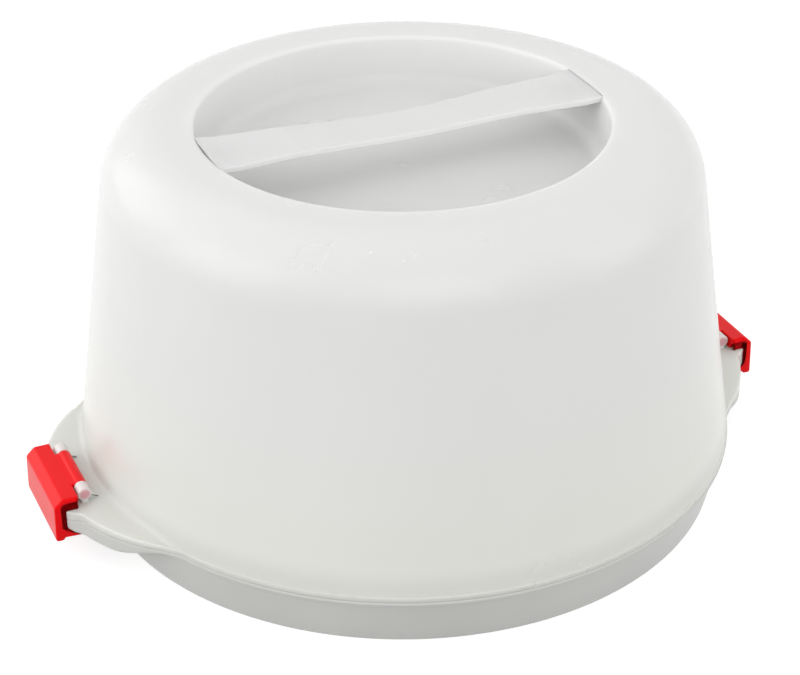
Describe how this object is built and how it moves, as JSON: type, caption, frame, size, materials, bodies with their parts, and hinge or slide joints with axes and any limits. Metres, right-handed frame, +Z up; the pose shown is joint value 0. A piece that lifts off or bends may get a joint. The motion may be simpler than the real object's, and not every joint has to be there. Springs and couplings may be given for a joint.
{
  "type": "cake carrier",
  "caption": "Round cake carrier: dish-shaped tray, tall lift-off hood with a grip bar in its recessed top, and side clips that hook under the tray.",
  "frame": {"origin": "centre of the tray's foot, where it stands on the table", "axes": "+Z up; X through the two clips and along the grip bar"},
  "size_m": [0.3658, 0.314, 0.181],
  "materials": {
    "tray_plastic": "satin white polypropylene",
    "hood_plastic": "translucent milky polypropylene, satin",
    "clip_plastic": "semi-gloss red polypropylene"
  },
  "bodies": {
    "tray": {"base_tray": "tray_plastic"},
    "hood": {"hood": "hood_plastic", "carry_handle": "hood_plastic"},
    "left_clip": {"left_clip": "clip_plastic"},
    "right_clip": {"right_clip": "clip_plastic"}
  },
  "joints": [
    {"name": "hood_lift", "type": "slide", "parent": "tray", "child": "hood", "axis": [0, 0, 1], "range_m": [0, 0.2]},
    {"name": "left_clip_hinge", "type": "hinge", "parent": "hood", "child": "left_clip", "pos_m": [-0.167, 0, 0.0336], "axis": [0, 1, 0], "range_deg": [0, 110]},
    {"name": "right_clip_hinge", "type": "hinge", "parent": "hood", "child": "right_clip", "pos_m": [0.167, 0, 0.0336], "axis": [0, -1, 0], "range_deg": [0, 110]}
  ]
}
